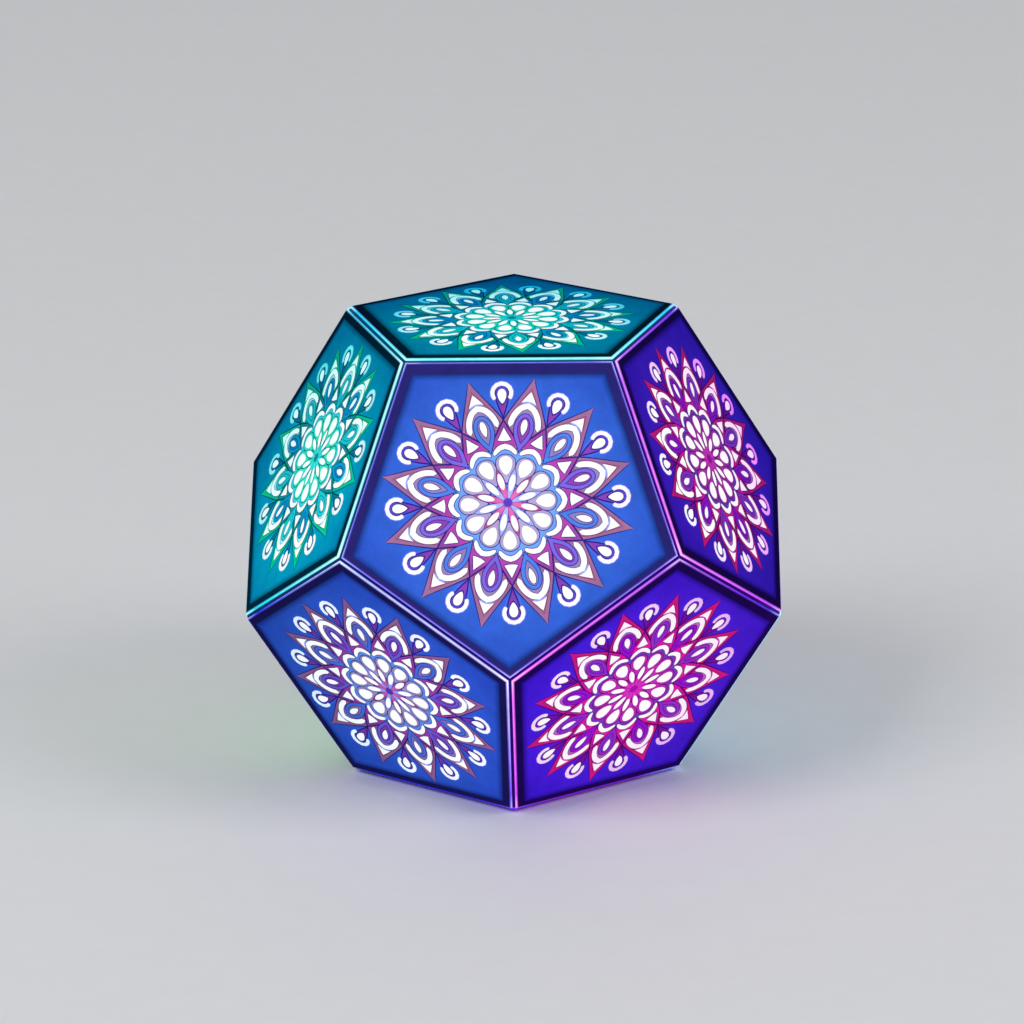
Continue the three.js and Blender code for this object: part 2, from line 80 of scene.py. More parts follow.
# Where each face is: its turn in fifths of a full turn, and its ring
PLACES = {
    "top": (0, "top"),
    "front": (0, "upper"),
    "right": (1, "upper"),
    "back_right": (2, "upper"),
    "back_left": (3, "upper"),
    "left": (4, "upper"),
    "low_right": (0.5, "lower"),
    "low_far_right": (1.5, "lower"),
    "low_back": (2.5, "lower"),
    "low_far_left": (3.5, "lower"),
    "low_left": (4.5, "lower"),
}

# How each print lies on its face: the rosette's turn in degrees and its centre in edges, the border's
# centre in edges, and which petals are blue
PRINTS = {
    "top": (6.0, (0.0015, 0.014), (0.0065, 0.015), ODD),
    "front": (17.9, (-0.007, 0), (0, -0.0145), ODD),
    "right": (0.1, (0.0045, -0.009), (0, 0.007), EVEN),
    "back_right": (9, (0, 0), (0, 0), ODD),
    "back_left": (14, (0, 0), (0, 0), ODD),
    "left": (6.0, (-0.006, 0.012), (0, 0), ODD),
    "low_right": (23.2, (-0.006, -0.006), (0.003, -0.007), EVEN),
    "low_far_right": (12, (0, 0), (0, 0), ODD),
    "low_back": (3, (0, 0), (0, 0), ODD),
    "low_far_left": (17, (0, 0), (0, 0), ODD),
    "low_left": (5.6, (-0.012, -0.0175), (-0.003, -0.003), ODD),
}

# Light behind each print: its colour, its strength in red, green and blue at the near and at the far end
# of a line across the face, and that line's direction in degrees
BEHIND = {
    "top": ("cyan", (0.25, 1.20, 1.06), (0.25, 0.52, 0.74), 90),
    "front": ("blue", (1, 1, 1), (1, 1, 1), 0),
    "right": ("violet", (0.95, 1.1, 0.9), (0.65, 1.1, 0.8), 0),
    "back_right": ("blue", (1, 0.8, 1), (0.5, 1.1, 1), 0),
    "back_left": ("cyan", (1, 0.8, 1), (1, 1, 0.9), 0),
    "left": ("cyan", (1, 0.78, 0.80), (1, 1.30, 1.18), -42),
    "low_right": ("violet", (1.15, 1, 1.15), (1.2, 1, 1), 0),
    "low_far_right": ("cyan", (1, 0.7, 1.2), (1, 0.8, 1.2), 0),
    "low_back": ("violet", (0.9, 1, 1), (0.7, 1, 1.1), 0),
    "low_far_left": ("cyan", (1, 1.1, 0.35), (1, 1, 0.3), 0),
    "low_left": ("blue", (0.54, 0.60, 0.68), (0.72, 0.68, 0.88), 0),
}

# Light in the windows at the two ends of the same line, then the border's strength and the field's. The
# border's strength is its glow from behind with a painted reflection of the room, most on the front face
WINDOWS = {
    "top": ((1.05, 1.10, 1.10), (0.17, 0.77, 0.90), 0.24, 0.72),
    # the front border's extra strength over the other blue faces is a painted reflection of the room
    "front": ((1, 1, 1), (1, 0.98, 1), 0.9, 1.0),
    "right": ((1.0, 1.05, 1.03), (0.98, 0.62, 1.03), 0.46, 0.90),
    "back_right": ((0.92, 0.96, 1), (0.85, 1, 1), 0.5, 1.0),
    "back_left": ((0.78, 1, 1), (0.7, 1, 0.97), 0.3, 1.0),
    "left": ((0.48, 0.97, 0.98), (1.08, 1.04, 1.04), 0.34, 0.91),
    "low_right": ((1, 0.95, 1), (0.96, 0.80, 1), 0.52, 1.12),
    "low_far_right": ((0.8, 0.98, 1), (0.75, 1, 1), 0.3, 1.0),
    "low_back": ((1, 0.85, 1), (0.9, 0.8, 1), 0.35, 1.0),
    "low_far_left": ((0.7, 1, 0.8), (0.6, 1, 0.7), 0.3, 1.0),
    "low_left": ((0.89, 0.97, 1), (1, 1, 1), 0.52, 1.0),
}

# How that light changes from a face's centre outwards, with distances in edges
LINE_LENGTH = 1.2  # between the near and the far end
WHITE_CORE = 0.30  # the windows are white within about this
BRIGHT_CORE = 0.15  # the inks are brighter within about this
BRIGHTER = 0.20  # by this share
FIELD_FADE = (0.42, 0.40)  # where the field starts to fade, and over what distance
FIELD_LOSS = (0.50, 0.50, 0.28)  # what it loses there of red, green and blue
FIELD_RIM = 0.3  # share of its light that is left at its border
FIELD_CURVE = 0.8  # power of the rise from there over the blur
MAGENTA_FADE = (0.31, 0.08)
MAGENTA_LOSS = (0.45, -0.05, 0.22)
RED_FADE = (0.06, 0.05)
RED_LOSS = 0.35
HOOK_TINT = 3  # the hooks take the windows' light to this power

# Rim light of each plate at some of its edges, each given by its direction from the face's centre, in degrees
RIMS = {
    "top": {270: (150, 250, 252), 198: (75, 222, 246), 342: (98, 232, 253)},
    "front": {
        90: (156, 146, 252),
        162: (146, 146, 252),
        18: (160, 138, 250),
        234: (156, 144, 252),
        306: (168, 142, 252),
    },
    "right": {162: (224, 128, 250), 90: (172, 60, 250), 234: (222, 108, 252)},
    "back_right": {162: (120, 150, 245), 18: (110, 190, 245), 270: (120, 160, 245)},
    "back_left": {162: (120, 225, 240), 18: (110, 235, 230), 270: (110, 215, 235)},
    "left": {18: (174, 244, 248), 90: (54, 214, 234), 306: (110, 234, 244)},
    "low_right": {126: (222, 120, 246), 54: (142, 42, 232), 198: (238, 112, 255)},
    "low_far_right": {126: (140, 220, 255), 54: (120, 200, 250), 198: (150, 225, 255)},
    "low_back": {126: (190, 120, 245), 54: (150, 130, 245), 270: (150, 110, 240)},
    "low_far_left": {126: (30, 150, 80), 54: (40, 160, 90), 270: (20, 120, 60)},
    "low_left": {54: (204, 206, 252), 126: (130, 138, 240), 342: (176, 160, 252)},
}

# Inks, 0 to 255, as they look with blue, cyan and violet light behind them
LIGHT_COLOURS = ("blue", "cyan", "violet")
INKS = {
    # the border's look under blue light holds a painted reflection of the room
    "border": ((44, 40, 118), (3, 57, 88), (36, 13, 98)),
    "field": ((60, 110, 224), (4, 156, 192), (67, 29, 200)),
    "outline": ((54, 32, 130), (4, 62, 96), (72, 6, 98)),
    "petal": ((162, 112, 154), (7, 182, 142), (182, 26, 124)),
    "crimson": ((140, 54, 112), (4, 124, 100), (150, 16, 96)),
    "mauve": ((154, 134, 188), (150, 232, 240), (172, 98, 182)),
    "hollow_blue": ((146, 132, 196), (22, 194, 204), (130, 44, 196)),
    "hollow_purple": ((146, 70, 182), (12, 124, 184), (138, 27, 200)),
    "magenta": ((182, 72, 176), (16, 134, 158), (206, 24, 156)),
    "light_blue": ((112, 165, 252), (46, 206, 218), (112, 52, 180)),
    "drop_blue": ((80, 130, 236), (28, 188, 202), (132, 44, 196)),
    "purple": ((124, 106, 228), (10, 146, 204), (134, 20, 196)),
    "deep_blue": ((88, 76, 208), (8, 120, 168), (98, 28, 196)),
    "bud_blue": ((74, 112, 234), (8, 158, 182), (90, 26, 180)),
    "halo": ((96, 118, 238), (20, 168, 192), (100, 44, 214)),
    "wedge": ((137, 68, 180), (8, 108, 144), (106, 17, 154)),
    "grey": ((172, 162, 206), (50, 214, 184), (168, 44, 168)),
    "red": ((216, 100, 172), (40, 202, 190), (188, 44, 174)),
    "lavender": ((158, 172, 248), (70, 204, 208), (186, 46, 172)),
    "core": ((90, 60, 184), (8, 130, 144), (150, 14, 150)),
    "hook": ((253, 253, 255), (243, 237, 238), (244, 238, 243)),
    "window": ((255, 255, 255), (255, 255, 255), (255, 255, 255)),
}
INK_CLOUD = 0.28  # how much the opal sheet's clouds and the print's grain show in an ink
WINDOW_CLOUD = 0.03
INK_BACKLIGHT_IN_BASE = 0.22  # share of an ink's backlit colour that is painted into its base colour, which the room's light falls on
INK_GLOW = 0.86  # share that is lit from behind

# Rims of the clear plates
RIM_HEIGHT = 0.60  # where a wall is brightest, in the plate's thickness
RIM_REACH = 0.48  # how far from there it shines
RIM_CURVE = 1.4
RIM_CORNER = (1.13, 1.22)  # where a paler corner starts and where it is full, in the face's inradius
CORNER_WHITE = 0.35
DEEP_GLOW = 0.30  # share of the rim's deep colour on all of its wall and bare margin
# share of the rim's deep colour painted into the clear plate's base colour as painted light
DEEP_RIM_LIGHT_IN_BASE = 0.10

# Finishes by material slot: colour, worn colour, roughness, grain scale, grain depth, colour spread,
# metallic, glow
FINISHES = {
    "tray_black": ((18, 18, 22), (58, 58, 64), 0.55, 1400.0, 0.00006, 0.5),
    "opal": ((236, 238, 244), (214, 216, 224), 0.55, 500.0, 0.00002, 0.06, 0.0, 0.6),
    "steel": ((190, 192, 198), (120, 121, 126), 0.30, 2400.0, 0.00003, 0.25, 1.0),
    "rubber": ((20, 20, 23), (64, 62, 60), 0.85, 1800.0, 0.00008, 0.6),
    "button_grey": ((136, 139, 146), (176, 178, 184), 0.45, 1500.0, 0.00004, 0.2),
    "board_green": ((26, 84, 46), (84, 120, 78), 0.50, 900.0, 0.00003, 0.4),
    "pouch": ((182, 186, 192), (226, 228, 232), 0.35, 300.0, 0.00008, 0.25, 0.6),
    "housing_white": ((226, 226, 222), (186, 184, 176), 0.50, 1200.0, 0.00004, 0.1),
    "tower_aluminium": ((200, 202, 206), (232, 233, 236), 0.38, 1600.0, 0.00003, 0.15, 1.0),
    "led": ((246, 240, 220), (228, 214, 160), 0.40, 900.0, 0.00002, 0.2, 0.0, 2.0),
}

# Finishes with the rims' light on them: colour, roughness, the light's power, its share, and what level
# surfaces take of that share
SPILLS = {
    "frame_black": ((12, 11, 20), 0.45, 3, 0.07, 1.0),
    # the clear base's dark violet colour is painted light from the lantern's inside
    "base_clear": ((30, 24, 70), 0.14, 2, 0.9, 0.22),
}
SPILL_COSINES = (0.66, 0.84)  # of the angle off a face's direction, where its light starts and is full
SPILL_STEEP = 0.4  # a surface is steep enough for the whole share from here, where 1 is upright

# Camera, from the fit to the photograph
IMAGE_SIZE = 1024  # pixels
FOCAL_LENGTH = 5492.9  # pixels
SENSOR_WIDTH = 36  # millimetres
AZIMUTH, ELEVATION, ROLL = 1.211, 17.893, -0.745  # degrees
DISTANCE = 27.414  # edges
AIM_RIGHT, AIM_UP = -0.009, 0.126  # edges from the lantern's middle, as the camera sees them

# Studio
FLOOR_REACH = 4.0
FLOOR_ROWS = (-FLOOR_REACH, -1, 0, 0.6)  # its depths before it sweeps up
SWEEP_START = 1.2
SWEEP_RADIUS = 0.8
FLOOR_TONE = 0.80
WORLD_COLOUR = (0.93, 0.95, 1.0, 1)
WORLD_STRENGTH = 0.45
LAMPS = {  # place, diameter and power in watts
    "lamp_left": ((-1.6, -1.4, 2.0), 1.4, 26),
    "lamp_right": ((1.8, -0.9, 1.6), 1.2, 14),
}
LAMP_AIM = (0, 0, 0.06)


def linear(rgb):
    """0 to 255 display colour as linear light: the sRGB curve undone."""
    share = np.asarray(rgb, float) / 255
    return np.where(share <= 0.04045, share / 12.92, ((share + 0.055) / 1.055) ** 2.4)


def opaque(rgb):
    """0 to 255 display colour as a colour socket's value."""
    return (*linear(rgb), 1)


def face_place(name):
    """Rotation and centre of a face: tilt about X, turn about Z, then out along its own normal."""
    turn, ring = PLACES[name]
    tilt = {"top": 0, "upper": FACE_TILT, "lower": np.pi - FACE_TILT}[ring]
    rotation = np.array(Matrix.Rotation(turn * FIFTH, 3, "Z") @ Matrix.Rotation(tilt, 3, "X"))
    centre = np.array([0, 0, CENTRE_HEIGHT]) + rotation[:, 2] * INRADIUS
    return rotation, centre


def face_point(name):
    """Way to a corner of the face's pentagon in its own frame: up on the top and lower faces, else down."""
    return -1 if PLACES[name][1] == "upper" else 1


def frame_slot(node):
    """The record's material slot of a CAD node."""
    return next(part["material_slot"] for part in frame["record"]["subparts"] if part["node"] == node)


# Shapes of the ornament, in edges: each is a pair of curves, its two sides from its inner to its outer end


def flowing(points, count=POINTS):
    """Smooth curve through points: cubic Hermite arcs, the slope at a point being half the step over it."""
    points = np.asarray(points, float)
    slopes = np.gradient(points, axis=0)
    at = np.linspace(0, len(points) - 1, count)
    first = np.minimum(at.astype(int), len(points) - 2)
    t = (at - first)[:, None]
    return (
        (2 * t**3 - 3 * t**2 + 1) * points[first]
        + (t**3 - 2 * t**2 + t) * slopes[first]
        + (3 * t**2 - 2 * t**3) * points[first + 1]
        + (t**3 - t**2) * slopes[first + 1]
    )


def blunted(side):
    """A side kept at least a sharp tip's half width off the shape's axis."""
    return np.stack([side[:, 0], np.maximum(side[:, 1], BLUNT)], 1)


def mirrored(side):
    """The shape of a side: the side and its mirror image across the axis."""
    side = blunted(side)
    return side, side * [1, -1]


def drop(inner, widest, outer, half_width, point=1.0, count=POINTS):
    """Teardrop: the width rises as a sine to a power from the inner tip, and a half ellipse closes it."""
    s = np.linspace(0, 1, count // 2 + 1)
    rise = np.stack([inner + (widest - inner) * s, half_width * np.sin(np.pi / 2 * s) ** point], 1)
    v = np.pi / 2 * s[1:]
    end = np.stack([widest + (outer - widest) * np.sin(v), half_width * np.cos(v)], 1)
    return mirrored(np.concatenate([rise, end]))


def spindle(inner, widest, outer, half_width, point=0.8):
    """Narrow petal: the width rises and falls as a sine to a power on both sides of its widest place."""
    s = np.linspace(0, 1, POINTS // 2 + 1)
    x = np.concatenate([inner + (widest - inner) * s, widest + (outer - widest) * s[1:]])
    share = np.concatenate([s, 1 - s[1:]])
    return mirrored(np.stack([x, half_width * np.sin(np.pi / 2 * share) ** point], 1))


def normals(curve):
    """Unit normals of a plane curve, a quarter turn left of its direction."""
    along = np.gradient(curve, axis=0)
    along /= np.linalg.norm(along, axis=1)[:, None]
    return np.stack([-along[:, 1], along[:, 0]], 1)


def band(centre_line, half_width, fullness):
    """Strip along a line, its half width falling to nothing at the ends as a superellipse."""
    t = np.linspace(-1, 1, len(centre_line))[:, None]
    reach = np.maximum(half_width * (1 - np.abs(t) ** fullness) ** (1 / fullness), BLUNT)
    offset = normals(centre_line) * reach
    return centre_line + offset, centre_line - offset


def arc(centre, radius, half_angle):
    """Circle arc round the axis, over its outer end. The points' angle goes as a sine, denser at the ends."""
    angle = np.radians(half_angle) * np.sin(np.linspace(-np.pi / 2, np.pi / 2, ARC_POINTS))
    return np.stack([centre + radius * np.cos(angle), radius * np.sin(angle)], 1)


def grown(shape, by=LINE, start=1.0, end=1.0):
    """The shape moved out by a line's width on both sides, and by start and end times that at its ends."""
    a, b = shape
    side = np.sign(np.sum((a - b)[len(a) // 2] * normals(a)[len(a) // 2]))
    a_out = a + side * by * normals(a)
    b_out = b - side * by * normals(b)
    for i, j, reach in ((0, 1, start), (-1, -2, end)):
        middle = (a[i] + b[i]) / 2
        way = middle - (a[j] + b[j]) / 2
        way /= np.linalg.norm(way)
        tip = middle + way * by * reach
        across = np.array([-way[1], way[0]]) * BLUNT * side
        sharp = np.linalg.norm(a[i] - b[i]) < 4 * BLUNT
        if sharp:
            a_out[i], b_out[i] = tip + across, tip - across
        else:
            a_out[i] = a_out[i] + way * by
            b_out[i] = b_out[i] + way * by
    return a_out, b_out


def kite(corner, half_width, apex, hollow, swell):
    """Three-cornered field across the axis: its outer edges fall from the apex to the corners as a power of
    the way across, and its inner edge is a parabola."""
    y = half_width * np.linspace(-1, 1, POINTS)
    share = np.abs(y) / half_width
    outer = apex - (apex - corner) * share**swell
    inner = hollow + (corner - hollow) * share**2
    outer = np.maximum(outer, inner + BLUNT)
    return np.stack([outer, y], 1), np.stack([inner, y], 1)


def turned(curve, angle):
    """A plane curve turned about the rosette's centre."""
    c, s = np.cos(angle), np.sin(angle)
    return curve @ np.array([[c, s], [-s, c]])


def over_axis(half_line, count):
    """Smooth line through half a curve's points that ends on the axis, and on through their mirror image."""
    half = flowing(half_line, count)
    return np.concatenate([half, half[-2::-1] * [1, -1]])


PETAL_SIDE = [
    (0.243, 0.140),
    (0.300, 0.1265),
    (0.345, 0.116),
    (0.395, 0.1025),
    (0.450, 0.079),
    (0.500, 0.055),
    (0.560, 0.026),
    (0.617, 0.0),
]
PETAL_POINTS = 23
PETAL_LINE = (0.0046, 0.0016)  # half width of its outline at its inner and at its outer end
CROSSING = 0.404  # where the outlines of two petals cross, from the centre
INNER_LINE = [(0.350, 0.092), (0.395, 0.0835), (0.440, 0.066), (0.480, 0.045), (0.520, 0.023), (0.560, 0.0)]
ARCH_LINE = [(0.362, 0.0675), (0.398, 0.0648), (0.434, 0.0520), (0.4640, 0.0295), (0.4785, 0.0)]
CRESCENT_LINE = [(0.2300, 0.0540), (0.2475, 0.0440), (0.2650, 0.0250), (0.2738, 0.0)]
LEAF_SIDE = [(0.404, 0), (0.440, 0.0185), (0.475, 0.0350), (0.510, 0.0440)]
SEAM_MIDDLE, SEAM_BOW, SEAM_HALF = 0.4962, 0.0115, 0.0340  # pale line between arch and kite
DISC_OVERLAP = 0.02  # of the ring of scallops over each next sector, in sectors
DISC_LINE, DISC, DISC_HOLE = 0.266, 0.2620, 0.02  # radii of its dark line, of itself and of its middle


def rosette():
    """The ornament's twelfth, as (ink, layer, where its axis lies, shape, which petals: None for all)."""
    found = []

    def lay(ink, layer, axis, shape, petals=None):
        found.append((ink, layer, axis, shape, petals))

    # Petal: its band, a thin line, then what lies inside it
    side = blunted(flowing(PETAL_SIDE, PETAL_POINTS))
    inside = mirrored(flowing(INNER_LINE))
    lay("petal", 1, ON_PETAL, mirrored(side))
    lay("crimson", 2, ON_PETAL, grown(inside, LINE * 0.6, end=2))
    lay("petal", 3, ON_PETAL, inside)

    # Field between two petals, below their crossing
    beyond = side[np.hypot(*side.T) < CROSSING]
    lay("magenta", 4, BETWEEN, mirrored(turned(beyond, -SECTOR / 2)))

    # Outlines of the petals, both seen where they cross, thinner towards the tip
    for sign in (1, -1):
        half_width = np.linspace(*PETAL_LINE, len(side))[:, None]
        lay("outline", 5, ON_PETAL, band(side * [1, sign], half_width, fullness=12))

    # Hollow of the arch
    lay("mauve", 6, ON_PETAL, drop(inner=0.318, widest=0.385, outer=0.467, half_width=0.0600))

    # Ring of scallops
    reach = np.linspace(-0.5 - DISC_OVERLAP, 0.5 + DISC_OVERLAP, 7) * SECTOR
    rim = np.stack([np.cos(reach), np.sin(reach)], 1)
    lay("outline", 5.5, ON_PETAL, (rim * DISC_LINE, rim * DISC_HOLE))
    lay("light_blue", 6, ON_PETAL, (rim * DISC, rim * DISC_HOLE))

    # Coloured drop in the arch, with a window in it
    body = drop(inner=0.254, widest=0.365, outer=0.4385, half_width=0.0462, point=1.15, count=FINE_POINTS)
    hollow = drop(inner=0.296, widest=0.368, outer=0.4195, half_width=0.0275)
    pane = drop(inner=0.333, widest=0.378, outer=0.4115, half_width=0.0155, point=0.8)
    lay("outline", 7, ON_PETAL, grown(body, start=2.5))
    lay("drop_blue", 8, ON_PETAL, body, BLUE)
    lay("purple", 8, ON_PETAL, body, PURPLE)
    lay("outline", 9, ON_PETAL, grown(hollow, LINE * 0.8, start=2))
    lay("hollow_blue", 10, ON_PETAL, hollow, BLUE)
    lay("hollow_purple", 10, ON_PETAL, hollow, PURPLE)
    lay("outline", 11, ON_PETAL, grown(pane, LINE * 0.8, start=2))
    lay("window", 12, ON_PETAL, pane)

    # Arch and kite, with a pale line between them
    arch = band(over_axis(ARCH_LINE, 10), half_width=0.0142, fullness=6)
    across = np.linspace(-1, 1, 11)
    seam = np.stack([SEAM_MIDDLE - SEAM_BOW * across**2, SEAM_HALF * across], 1)
    tip = kite(corner=0.4885, half_width=0.0372, apex=0.5480, hollow=0.4998, swell=1.1)
    lay("outline", 11, ON_PETAL, grown(arch, LINE * 0.7))
    lay("window", 12, ON_PETAL, arch)
    lay("lavender", 11.5, ON_PETAL, band(seam, half_width=0.0040, fullness=8))
    lay("crimson", 10, ON_PETAL, grown(tip, LINE * 0.8))
    lay("window", 12, ON_PETAL, tip)

    # Three-cornered window between two petals
    corner = kite(corner=0.304, half_width=0.0320, apex=0.3650, hollow=0.2995, swell=1.0)
    lay("outline", 8, BETWEEN, grown(corner))
    lay("window", 9, BETWEEN, corner)

    # Scallop
    crescent = band(over_axis(CRESCENT_LINE, 9), half_width=0.0128, fullness=2.2)
    lay("outline", 8, BETWEEN, grown(crescent, LINE * 0.9))
    lay("window", 9, BETWEEN, crescent)

    # Large drop inside the scallop
    shade = drop(inner=0.094, widest=0.195, outer=0.2340, half_width=0.0466, point=0.95, count=FINE_POINTS)
    light = drop(inner=0.1350, widest=0.1950, outer=0.2265, half_width=0.0322, point=0.62, count=FINE_POINTS)
    lay("outline", 10, BETWEEN, grown(shade, start=2))
    lay("grey", 11, BETWEEN, shade)
    lay("window", 12, BETWEEN, light)

    # Star of the centre
    ray = spindle(inner=0.010, widest=0.100, outer=0.168, half_width=0.0174, point=0.85)
    for petals, ink, inner, outer in ((BLUE, "red", 0.064, 0.147), (PURPLE, "lavender", 0.055, 0.141)):
        lay("outline", 13, ON_PETAL, grown(ray, LINE * 0.8, end=2), petals)
        lay(ink, 14, ON_PETAL, ray, petals)
        lay("window", 15, ON_PETAL, spindle(inner, 0.104, outer, half_width=0.0145, point=0.55), petals)
    lay("core", 16, ON_PETAL, spindle(inner=0.0, widest=0.009, outer=0.026, half_width=0.0046))

    # Bud between two petals: leaf, hook with its halo, shell with its dark line, wedge and bead
    hook = band(arc(centre=0.5345, radius=0.0457, half_angle=132), half_width=0.0101, fullness=4)
    line = drop(inner=0.4020, widest=0.533, outer=0.5735, half_width=0.0350, point=1.15, count=FINE_POINTS)
    shell = drop(inner=0.4220, widest=0.533, outer=0.5690, half_width=0.0296, point=1.2, count=FINE_POINTS)
    ring = drop(inner=0.4725, widest=0.524, outer=0.5585, half_width=0.0256, point=0.78, count=FINE_POINTS)
    bead = drop(inner=0.4815, widest=0.528, outer=0.5545, half_width=0.0214, point=0.74, count=FINE_POINTS)
    wedge = spindle(inner=0.4280, widest=0.478, outer=0.510, half_width=0.0158, point=1.0)
    lay("bud_blue", 4, BETWEEN, mirrored(flowing(LEAF_SIDE, 11)))
    lay("halo", 5, BETWEEN, grown(hook, LINE * 1.2))
    lay("outline", 6, BETWEEN, line)
    lay("deep_blue", 7, BETWEEN, shell)
    lay("wedge", 8, BETWEEN, wedge)
    lay("hook", 12, BETWEEN, hook)
    lay("outline", 11, BETWEEN, ring)
    lay("window", 12, BETWEEN, bead)
    return found


def closed_strip(count):
    """Quads of a closed strip with count points a side: top, underside, two long walls and two ends."""
    i = np.arange(count - 1)
    a, b, c, d = (k * count + i for k in range(4))  # upper left, upper right, lower left, lower right
    n = count - 1
    return np.concatenate(
        [
            np.stack([a, b, b + 1, a + 1], 1),
            np.stack([c + 1, d + 1, d, c], 1),
            np.stack([a + 1, c + 1, c, a], 1),
            np.stack([b, d, d + 1, b + 1], 1),
            [[0, 2 * count, 3 * count, count], [count + n, 3 * count + n, 2 * count + n, n]],
        ]
    )


def strip_solid(shape, low, high):
    """Vertices and quads of a shape raised from low to high. Its sides change places where that makes its
    faces point outwards."""
    a, b = shape
    x, y = np.concatenate([a, b[::-1]]).T
    clockwise = np.sum(x * np.roll(y, -1) - np.roll(x, -1) * y) < 0
    if not clockwise:
        a, b = b, a
    flat = np.concatenate([a, b, a, b])
    height = np.repeat([high, low], 2 * len(a))
    return np.column_stack([flat, height]), closed_strip(len(a))


def pentagon_ring(inradii, point):
    """Points of rings of pentagons of the given inradii: a corner's way, then evenly along each side."""
    corner = np.arange(6) * FIFTH + point * np.pi / 2
    corners = np.stack([np.cos(corner), np.sin(corner)], 1) / np.cos(np.pi / 5)
    t = (np.arange(SIDE_POINTS) / SIDE_POINTS)[:, None]
    outline = np.concatenate([corners[k] * (1 - t) + corners[k + 1] * t for k in range(5)])
    return np.asarray(inradii)[:, None, None] * outline


def ring_solid(points, low, high):
    """Closed flat ring from rings of points: upper and lower sheets joined by an inner and an outer wall."""
    rings, count = points.shape[:2]
    flat = points.reshape(-1, 2)
    vertices = np.concatenate([np.column_stack([flat, np.full(len(flat), z)]) for z in (high, low)])
    r, k = (x.ravel() for x in np.meshgrid(np.arange(rings - 1), np.arange(count), indexing="ij"))
    after = (k + 1) % count
    lower = rings * count
    upper = np.stack([r * count + k, (r + 1) * count + k, (r + 1) * count + after, r * count + after], 1)
    under = upper[:, ::-1] + lower
    k = np.arange(count)
    after = (k + 1) % count
    edge = (rings - 1) * count
    outside = np.stack([edge + k, edge + lower + k, edge + lower + after, edge + after], 1)
    inside = np.stack([after, after + lower, k + lower, k], 1)
    return vertices, np.concatenate([upper, under, outside, inside])


def between(near, far, mix):
    """Values between two ends, mixed point by point."""
    return np.array(near) * (1 - mix) + np.array(far) * mix


def faded(away, start, over):
    """How far a change has come at a distance: 0 at its start, 1 once it is over."""
    return np.clip((away - start) / over, 0, 1)


def face_light(name, flat, ink):
    """Light behind points of a face, as a share of the ink's own colour: the ink's look in the face's colour
    of light, mixed between the two ends of the face's line. The field fades towards its border, least in
    blue. A window's light goes to white at the centre."""
    colour, near, far, direction = BEHIND[name]
    window_near, window_far, border_glow_and_reflection, field_strength = WINDOWS[name]
    way = np.array([np.cos(np.radians(direction)), np.sin(np.radians(direction))])
    mix = np.clip(0.5 + flat @ way / LINE_LENGTH, 0, 1)[:, None]
    away = np.hypot(*flat.T)[:, None]
    tint = between(window_near, window_far, mix)
    if ink == "window":
        core = np.exp(-((away / WHITE_CORE) ** 2))
        return tint * (1 - core) + core
    look = linear(INKS[ink][LIGHT_COLOURS.index(colour)]) / linear(INKS[ink][0])
    if ink == "hook":
        return look * tint**HOOK_TINT
    light = look * between(near, far, mix)
    if ink == "border":
        # the border's glow from behind, with a painted reflection of the room in it, most on the front face
        return light * border_glow_and_reflection
    if ink == "magenta":
        return light * (1 - faded(away, *MAGENTA_FADE) * np.array(MAGENTA_LOSS))
    if ink == "field":
        sides = (np.arange(5) + 0.5) * FIFTH + face_point(name) * np.pi / 2
        from_border_centre = flat - PRINTS[name][2]
        inradius = np.max(from_border_centre @ np.stack([np.cos(sides), np.sin(sides)]), axis=1)[:, None]
        to_border = np.clip(((FACE_INRADIUS - BORDER_WIDTH) / EDGE - inradius) / (BORDER_BLUR / EDGE), 0, 1)
        fade = 1 - faded(away, *FIELD_FADE) * np.array(FIELD_LOSS)
        return light * field_strength * fade * (FIELD_RIM + (1 - FIELD_RIM) * to_border**FIELD_CURVE)
    if ink == "red":
        light = light * (1 - RED_LOSS * faded(away, *RED_FADE))
    return light * (1 + BRIGHTER * np.exp(-((away / BRIGHT_CORE) ** 2)))


